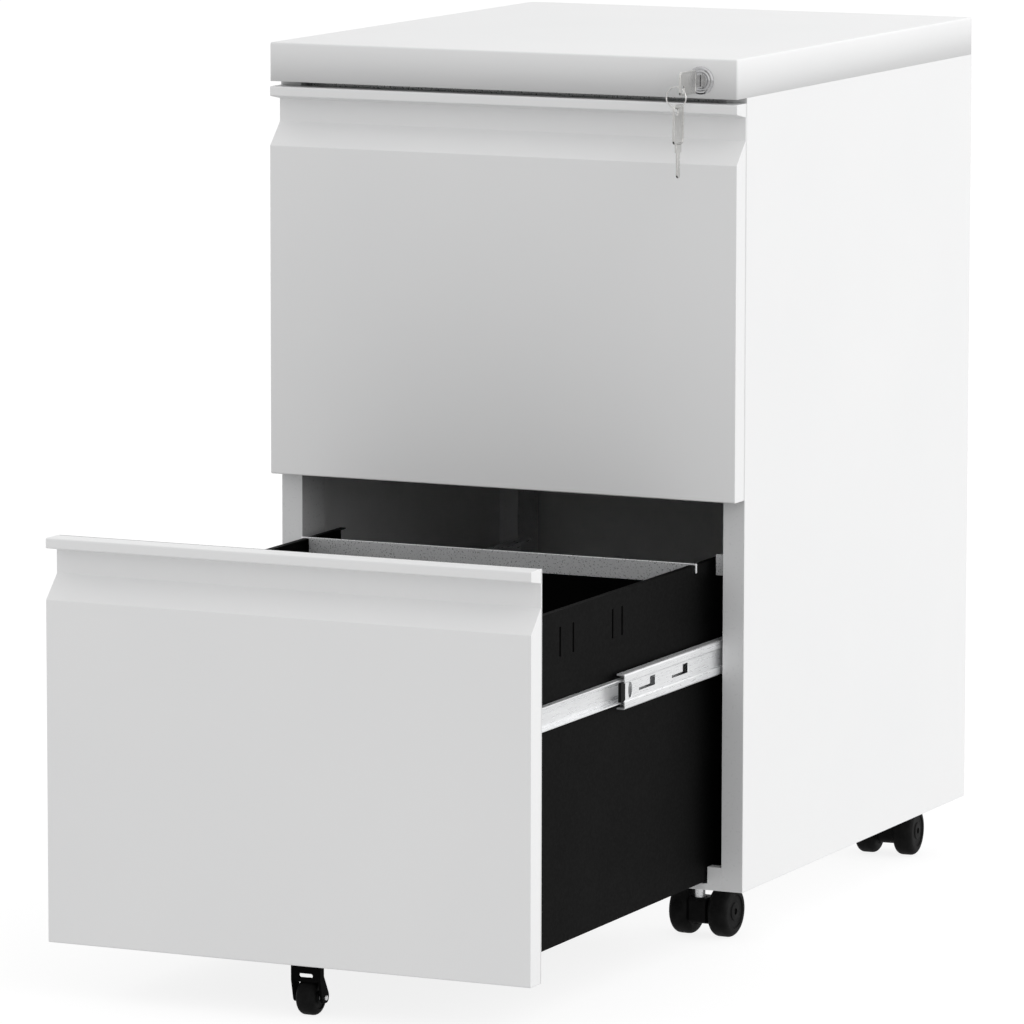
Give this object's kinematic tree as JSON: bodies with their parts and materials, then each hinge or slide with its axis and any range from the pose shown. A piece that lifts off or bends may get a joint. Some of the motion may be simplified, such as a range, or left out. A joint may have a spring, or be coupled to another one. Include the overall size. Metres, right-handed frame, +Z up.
{
  "type": "filing cabinet",
  "caption": "Mobile steel filing cabinet: drawers on full-extension slides, lipped fronts with finger recesses, key lock, swivel casters.",
  "frame": {"origin": "on the floor under the middle of the carcass, drawer fronts not counted", "axes": "+X to the right as seen from the front, +Y from the front to the back, +Z up; the drawers open along -Y"},
  "size_m": [0.39, 0.8454, 0.678],
  "materials": {
    "white_paint": "fine satin powder coat",
    "post_paint": "satin pale grey",
    "black_paint": "matt black powder coat",
    "zinc": "bright zinc plate",
    "chrome": "polished",
    "nickel": "nickel plate with light scratches",
    "nylon": "moulded, fine grain",
    "wheel_nylon": "semi-matt, scuffed tread"
  },
  "bodies": {
    "cabinet": {"top_cover": "white_paint", "side_panel_left": "white_paint", "side_panel_right": "white_paint", "back_panel": "white_paint", "base_pan": "white_paint", "base_front_rail": "post_paint", "front_upright_left": "post_paint", "front_upright_right": "post_paint", "rear_upright_left": "post_paint", "rear_upright_right": "post_paint", "front_top_rail": "zinc", "rear_top_rail": "zinc", "panel_screws": "zinc", "slide_outer_upper_left": "zinc", "slide_outer_upper_right": "zinc", "slide_outer_lower_left": "zinc", "slide_outer_lower_right": "zinc", "lock_housing": "chrome", "lock_nut": "zinc", "lock_bar_guides": "zinc", "caster_stems": "zinc"},
    "upper_drawer": {"upper_drawer_front": "white_paint", "upper_drawer_liner": "black_paint", "upper_drawer_side_left": "black_paint", "upper_drawer_side_right": "black_paint", "upper_drawer_bottom": "black_paint", "upper_drawer_back": "black_paint", "upper_hanging_bars": "zinc", "upper_lock_catch": "zinc", "slide_inner_upper": "zinc"},
    "lower_drawer": {"lower_drawer_front": "white_paint", "lower_drawer_liner": "black_paint", "lower_drawer_side_left": "black_paint", "lower_drawer_side_right": "black_paint", "lower_drawer_bottom": "black_paint", "lower_drawer_back": "black_paint", "lower_hanging_bars": "zinc", "lower_lock_catch": "zinc", "slide_inner_lower": "zinc", "fifth_caster_bracket": "nylon", "fifth_caster_axle": "zinc"},
    "fifth_wheel": {"fifth_caster_wheel": "wheel_nylon"},
    "lock_core": {"lock_plug": "chrome", "lock_cam": "zinc"},
    "lock_bar": {"lock_bar": "zinc"},
    "key": {"key": "nickel"},
    "key_ring": {"key_ring": "chrome"},
    "spare_key": {"spare_key": "nickel"},
    "slide_middle_upper_left": {"slide_middle_upper_left": "zinc"},
    "slide_middle_upper_right": {"slide_middle_upper_right": "zinc"},
    "slide_middle_lower_left": {"slide_middle_lower_left": "zinc"},
    "slide_middle_lower_right": {"slide_middle_lower_right": "zinc"},
    "caster_front_left": {"caster_housing_front_left": "nylon"},
    "wheels_front_left": {"caster_wheels_front_left": "wheel_nylon"},
    "caster_front_right": {"caster_housing_front_right": "nylon"},
    "wheels_front_right": {"caster_wheels_front_right": "wheel_nylon"},
    "caster_rear_left": {"caster_housing_rear_left": "nylon"},
    "wheels_rear_left": {"caster_wheels_rear_left": "wheel_nylon"},
    "caster_rear_right": {"caster_housing_rear_right": "nylon"},
    "wheels_rear_right": {"caster_wheels_rear_right": "wheel_nylon"}
  },
  "joints": [
    {"name": "upper_drawer_slide", "type": "slide", "parent": "cabinet", "child": "upper_drawer", "axis": [0, -1, 0], "range_m": [0, 0.4], "deforming": ["key_ring", "spare_key"]},
    {"name": "lower_drawer_slide", "type": "slide", "parent": "cabinet", "child": "lower_drawer", "axis": [0, -1, 0], "range_m": [-0.365, 0.035]},
    {"name": "slide_middle_upper_left_run", "type": "slide", "parent": "cabinet", "child": "slide_middle_upper_left", "axis": [0, -1, 0], "range_m": [0, 0.2]},
    {"name": "slide_middle_upper_right_run", "type": "slide", "parent": "cabinet", "child": "slide_middle_upper_right", "axis": [0, -1, 0], "range_m": [0, 0.2]},
    {"name": "slide_middle_lower_left_run", "type": "slide", "parent": "cabinet", "child": "slide_middle_lower_left", "axis": [0, -1, 0], "range_m": [-0.1825, 0.0175]},
    {"name": "slide_middle_lower_right_run", "type": "slide", "parent": "cabinet", "child": "slide_middle_lower_right", "axis": [0, -1, 0], "range_m": [-0.1825, 0.0175]},
    {"name": "lock_turn", "type": "hinge", "parent": "cabinet", "child": "lock_core", "pos_m": [0.1655, -0.249, 0.6614], "axis": [0, 1, 0], "range_deg": [0, 90]},
    {"name": "lock_bar_drop", "type": "slide", "parent": "cabinet", "child": "lock_bar", "axis": [0, 0, -1], "range_m": [0, 0.01697]},
    {"name": "key_pull", "type": "slide", "parent": "lock_core", "child": "key", "axis": [0, -1, 0], "range_m": [0, 0.03]},
    {"name": "key_ring_turn", "type": "hinge", "parent": "key", "child": "key_ring", "pos_m": [0.1655, -0.284, 0.6574], "axis": [0, 1, 0], "range_deg": [-90, 0]},
    {"name": "spare_key_swing", "type": "hinge", "parent": "key_ring", "child": "spare_key", "pos_m": [0.16057, -0.284, 0.6431], "axis": [1, 0, 0], "range_deg": [-60, 20]},
    {"name": "caster_front_left_swivel", "type": "hinge", "parent": "cabinet", "child": "caster_front_left", "pos_m": [-0.148, -0.202, 0.04], "axis": [0, 0, 1], "continuous": true},
    {"name": "wheels_front_left_roll", "type": "hinge", "parent": "caster_front_left", "child": "wheels_front_left", "pos_m": [-0.14925, -0.19007, 0.02], "axis": [0.9945, 0.1045, 0], "continuous": true},
    {"name": "caster_front_right_swivel", "type": "hinge", "parent": "cabinet", "child": "caster_front_right", "pos_m": [0.148, -0.202, 0.04], "axis": [0, 0, 1], "continuous": true},
    {"name": "wheels_front_right_roll", "type": "hinge", "parent": "caster_front_right", "child": "wheels_front_right", "pos_m": [0.14842, -0.19001, 0.02], "axis": [0.9994, -0.0349, 0], "continuous": true},
    {"name": "caster_rear_left_swivel", "type": "hinge", "parent": "cabinet", "child": "caster_rear_left", "pos_m": [-0.148, 0.194, 0.04], "axis": [0, 0, 1], "continuous": true},
    {"name": "wheels_rear_left_roll", "type": "hinge", "parent": "caster_rear_left", "child": "wheels_rear_left", "pos_m": [-0.14675, 0.18207, 0.02], "axis": [-0.9945, -0.1045, 0], "continuous": true},
    {"name": "caster_rear_right_swivel", "type": "hinge", "parent": "cabinet", "child": "caster_rear_right", "pos_m": [0.148, 0.194, 0.04], "axis": [0, 0, 1], "continuous": true},
    {"name": "wheels_rear_right_roll", "type": "hinge", "parent": "caster_rear_right", "child": "wheels_rear_right", "pos_m": [0.14884, 0.18203, 0.02], "axis": [-0.9976, -0.0698, 0], "continuous": true},
    {"name": "fifth_wheel_roll", "type": "hinge", "parent": "lower_drawer", "child": "fifth_wheel", "pos_m": [0.006, -0.585, 0.0135], "axis": [1, 0, 0], "continuous": true}
  ],
  "couplings": [
    {"joint": "slide_middle_upper_left_run", "follows": "upper_drawer_slide", "ratio": 0.5},
    {"joint": "slide_middle_upper_right_run", "follows": "upper_drawer_slide", "ratio": 0.5},
    {"joint": "slide_middle_lower_left_run", "follows": "lower_drawer_slide", "ratio": 0.5},
    {"joint": "slide_middle_lower_right_run", "follows": "lower_drawer_slide", "ratio": 0.5},
    {"joint": "lock_turn", "follows": "lock_bar_drop", "rad_per_m": 92.56},
    {"joint": "key_ring_turn", "follows": "lock_bar_drop", "rad_per_m": -92.56}
  ]
}
